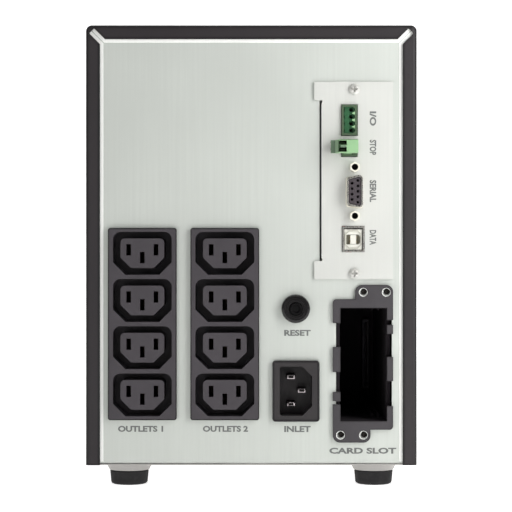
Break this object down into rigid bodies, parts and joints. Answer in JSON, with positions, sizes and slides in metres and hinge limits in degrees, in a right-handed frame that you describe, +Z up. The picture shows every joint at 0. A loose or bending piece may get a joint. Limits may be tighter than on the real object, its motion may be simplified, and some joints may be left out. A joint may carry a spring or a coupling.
{
  "type": "tower uninterruptible power supply",
  "caption": "Free-standing tower UPS: black sheet-steel cover, bright rear panel with IEC outlet blocks, rotated inlet, breaker, card slot and signal connectors, on rubber feet.",
  "frame": {"origin": "on the floor under the middle of the object's box", "axes": "+Z up, the rear panel faces -Y and the front bezel faces +Y, +X to the right when the rear panel is looked at"},
  "size_m": [0.17, 0.3762, 0.2383],
  "materials": {
    "zinc_steel": "zinc plated, dull",
    "panel_steel": "fine matte metallic",
    "cover_paint": "fine texture powder coat",
    "foot_rubber": "matte",
    "outlet_plastic": "moulded, satin",
    "contact_brass": "stamped",
    "inlet_plastic": "moulded, satin",
    "nickel_plate": "bright nickel plate",
    "breaker_plastic": "moulded, semi-gloss",
    "slot_plastic": "moulded, satin",
    "bracket_paint": "light metallic, satin",
    "circuit_board": "solder mask over glass fibre board",
    "green_plastic": "moulded, semi-gloss",
    "light_green_plastic": "moulded, semi-gloss",
    "connector_plastic": "moulded",
    "white_plastic": "moulded",
    "bezel_plastic": "spark-eroded texture",
    "display_lens": "smoked, polished",
    "display_glass": "liquid crystal panel",
    "key_plastic": "moulded, satin",
    "battery_plastic": "moulded",
    "red_insulation": "extruded wire insulation",
    "black_insulation": "extruded wire insulation",
    "core_steel": "varnished laminations",
    "coil_copper": "enamelled copper wire",
    "sink_aluminium": "extruded",
    "sleeve_plastic": "shrink sleeve"
  },
  "bodies": {
    "chassis": {"base_pan": "zinc_steel", "rear_panel": "panel_steel", "top_cover": "cover_paint", "battery_door": "zinc_steel", "foot_rear_left": "foot_rubber", "foot_rear_right": "foot_rubber", "foot_front_left": "foot_rubber", "foot_front_right": "foot_rubber", "outlet_block_left": "outlet_plastic", "outlet_line_bar_left": "contact_brass", "outlet_neutral_bar_left": "contact_brass", "outlet_earth_bar_left": "contact_brass", "outlet_block_right": "outlet_plastic", "outlet_line_bar_right": "contact_brass", "outlet_neutral_bar_right": "contact_brass", "outlet_earth_bar_right": "contact_brass", "inlet_housing": "inlet_plastic", "inlet_pin_line": "nickel_plate", "inlet_pin_neutral": "nickel_plate", "inlet_pin_earth": "nickel_plate", "breaker_body": "breaker_plastic", "breaker_nut": "breaker_plastic", "card_slot_frame": "slot_plastic", "card_socket": "slot_plastic", "interface_bracket": "bracket_paint", "interface_board": "circuit_board", "bracket_screw_upper": "nickel_plate", "bracket_screw_lower": "nickel_plate", "dry_contact_header": "green_plastic", "epo_header": "green_plastic", "serial_shell": "nickel_plate", "serial_insulator": "connector_plastic", "serial_jackscrew_upper": "nickel_plate", "serial_jackscrew_lower": "nickel_plate", "usb_shell": "nickel_plate", "usb_insert": "white_plastic", "battery_left": "battery_plastic", "battery_right": "battery_plastic", "battery_strap": "zinc_steel", "battery_lead_red": "red_insulation", "battery_lead_black": "black_insulation", "battery_link_lead": "black_insulation", "transformer_core": "core_steel", "transformer_coil": "coil_copper", "board_shelf": "zinc_steel", "main_board": "circuit_board", "heat_sink": "sink_aluminium", "bulk_capacitor_rear": "sleeve_plastic", "bulk_capacitor_front": "sleeve_plastic", "transfer_relay": "sleeve_plastic", "output_choke": "coil_copper"},
    "breaker_button": {"breaker_button": "breaker_plastic"},
    "epo_plug": {"epo_plug": "light_green_plastic"},
    "front_bezel": {"front_bezel": "bezel_plastic", "display_window": "display_lens", "display_module": "display_glass", "display_board": "circuit_board"},
    "power_button": {"power_button": "key_plastic"},
    "select_key": {"select_key": "key_plastic"},
    "mute_key": {"mute_key": "key_plastic"}
  },
  "joints": [
    {"name": "breaker_reset", "type": "slide", "parent": "chassis", "child": "breaker_button", "axis": [0, -1, 0], "range_m": [0, 0.004]},
    {"name": "epo_plug_pull", "type": "slide", "parent": "chassis", "child": "epo_plug", "axis": [0, -1, 0], "range_m": [0, 0.016]},
    {"name": "front_bezel_pull", "type": "slide", "parent": "chassis", "child": "front_bezel", "axis": [0, 1, 0], "range_m": [0, 0.06]},
    {"name": "power_button_press", "type": "slide", "parent": "front_bezel", "child": "power_button", "axis": [0, -1, 0], "range_m": [0, 0.0025], "stiffness_N_per_m": 600, "springref_m": -0.0015},
    {"name": "select_key_press", "type": "slide", "parent": "front_bezel", "child": "select_key", "axis": [0, -1, 0], "range_m": [0, 0.001], "stiffness_N_per_m": 600, "springref_m": -0.001},
    {"name": "mute_key_press", "type": "slide", "parent": "front_bezel", "child": "mute_key", "axis": [0, -1, 0], "range_m": [0, 0.001], "stiffness_N_per_m": 600, "springref_m": -0.001}
  ]
}
